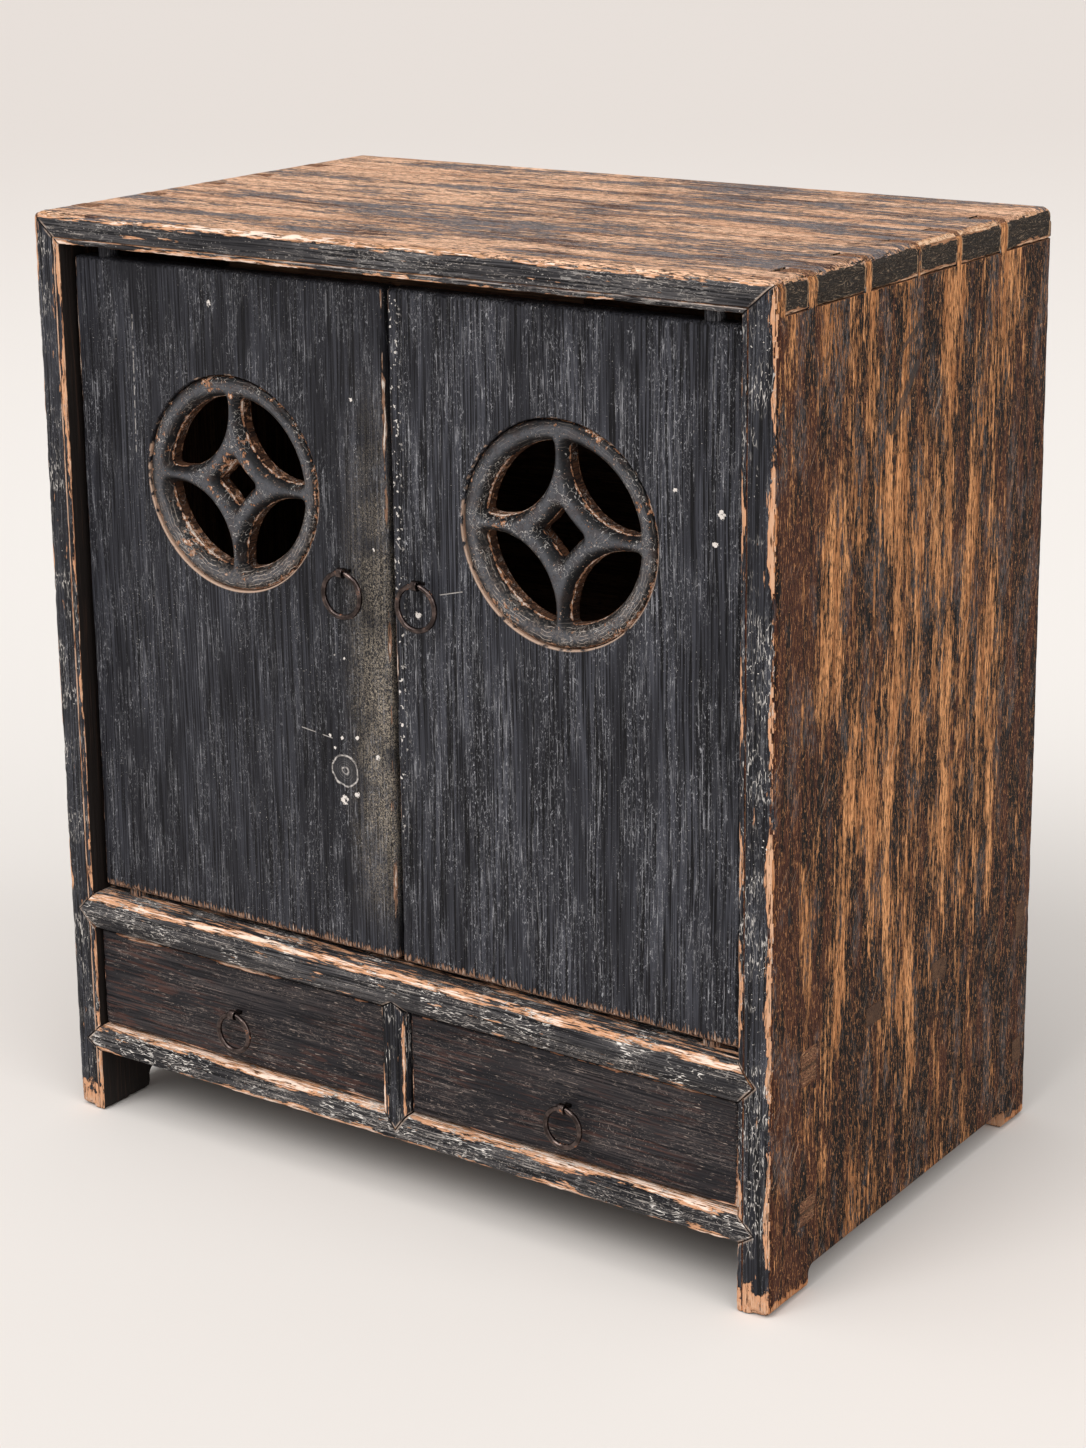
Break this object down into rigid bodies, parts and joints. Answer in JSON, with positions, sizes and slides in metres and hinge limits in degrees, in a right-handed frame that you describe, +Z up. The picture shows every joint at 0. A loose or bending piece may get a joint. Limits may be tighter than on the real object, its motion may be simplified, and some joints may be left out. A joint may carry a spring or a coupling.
{
  "type": "kang cabinet",
  "caption": "Low kang cabinet with two pivoting doors pierced by round coin-pattern medallions, over side-by-side drawers, all on ring pulls, in a dovetailed board case.",
  "frame": {"origin": "the middle of the whole outline on the floor, pulls included", "axes": "+X to the right as seen from the front, +Y to the back, +Z up"},
  "size_m": [0.624, 0.3939, 0.7],
  "materials": {
    "black_lacquer": "old black lacquer, worn to wood at the arrises",
    "worn_case_wood": "worn varnish over softwood, dark streaks along the grain",
    "plain_wood": "bare aged softwood",
    "dark_iron": "hand-forged iron with brown rust"
  },
  "bodies": {
    "cabinet": {"side_board_left": "worn_case_wood", "side_board_right": "worn_case_wood", "top_board": "worn_case_wood", "middle_rail": "black_lacquer", "bottom_rail": "black_lacquer", "centre_stile": "black_lacquer", "cabinet_floor": "plain_wood", "middle_back_rail": "plain_wood", "bottom_back_rail": "plain_wood", "drawer_runner_left": "plain_wood", "drawer_runner_right": "plain_wood", "drawer_runner_centre": "plain_wood", "drawer_guide": "plain_wood", "door_stop": "plain_wood", "tenon_wedges": "plain_wood", "back_nails": "dark_iron", "back_board_lower": "plain_wood", "back_board_middle": "plain_wood", "back_board_upper": "plain_wood"},
    "door_left": {"door_board_left": "black_lacquer", "door_medallion_left": "black_lacquer", "door_batten_lower_left": "plain_wood", "door_batten_upper_left": "plain_wood", "door_staple_left": "dark_iron"},
    "door_ring_left": {"door_ring_left": "dark_iron"},
    "drawer_left": {"drawer_front_left": "black_lacquer", "drawer_side_outer_left": "plain_wood", "drawer_side_inner_left": "plain_wood", "drawer_back_left": "plain_wood", "drawer_bottom_left": "plain_wood", "drawer_pegs_left": "plain_wood", "drawer_staple_left": "dark_iron"},
    "drawer_ring_left": {"drawer_ring_left": "dark_iron"},
    "door_right": {"door_board_right": "black_lacquer", "door_medallion_right": "black_lacquer", "door_batten_lower_right": "plain_wood", "door_batten_upper_right": "plain_wood", "door_staple_right": "dark_iron"},
    "door_ring_right": {"door_ring_right": "dark_iron"},
    "drawer_right": {"drawer_front_right": "black_lacquer", "drawer_side_outer_right": "plain_wood", "drawer_side_inner_right": "plain_wood", "drawer_back_right": "plain_wood", "drawer_bottom_right": "plain_wood", "drawer_pegs_right": "plain_wood", "drawer_staple_right": "dark_iron"},
    "drawer_ring_right": {"drawer_ring_right": "dark_iron"}
  },
  "joints": [
    {"name": "door_left_swing", "type": "hinge", "parent": "cabinet", "child": "door_left", "pos_m": [-0.256, -0.17105, 0.184], "axis": [0, 0, -1], "range_deg": [0, 110]},
    {"name": "drawer_left_slide", "type": "slide", "parent": "cabinet", "child": "drawer_left", "axis": [0, -1, 0], "range_m": [0, 0.22]},
    {"name": "door_ring_left_swing", "type": "hinge", "parent": "door_left", "child": "door_ring_left", "pos_m": [-0.03725, -0.18755, 0.467], "axis": [-1, 0, 0], "range_deg": [-9, 175]},
    {"name": "drawer_ring_left_swing", "type": "hinge", "parent": "drawer_left", "child": "drawer_ring_left", "pos_m": [-0.148, -0.19305, 0.1133], "axis": [-1, 0, 0], "range_deg": [-9, 175]},
    {"name": "door_right_swing", "type": "hinge", "parent": "cabinet", "child": "door_right", "pos_m": [0.256, -0.17105, 0.184], "axis": [0, 0, 1], "range_deg": [0, 110]},
    {"name": "drawer_right_slide", "type": "slide", "parent": "cabinet", "child": "drawer_right", "axis": [0, -1, 0], "range_m": [0, 0.22]},
    {"name": "door_ring_right_swing", "type": "hinge", "parent": "door_right", "child": "door_ring_right", "pos_m": [0.02725, -0.18755, 0.467], "axis": [-1, 0, 0], "range_deg": [-9, 175]},
    {"name": "drawer_ring_right_swing", "type": "hinge", "parent": "drawer_right", "child": "drawer_ring_right", "pos_m": [0.148, -0.19305, 0.1133], "axis": [-1, 0, 0], "range_deg": [-9, 175]}
  ]
}
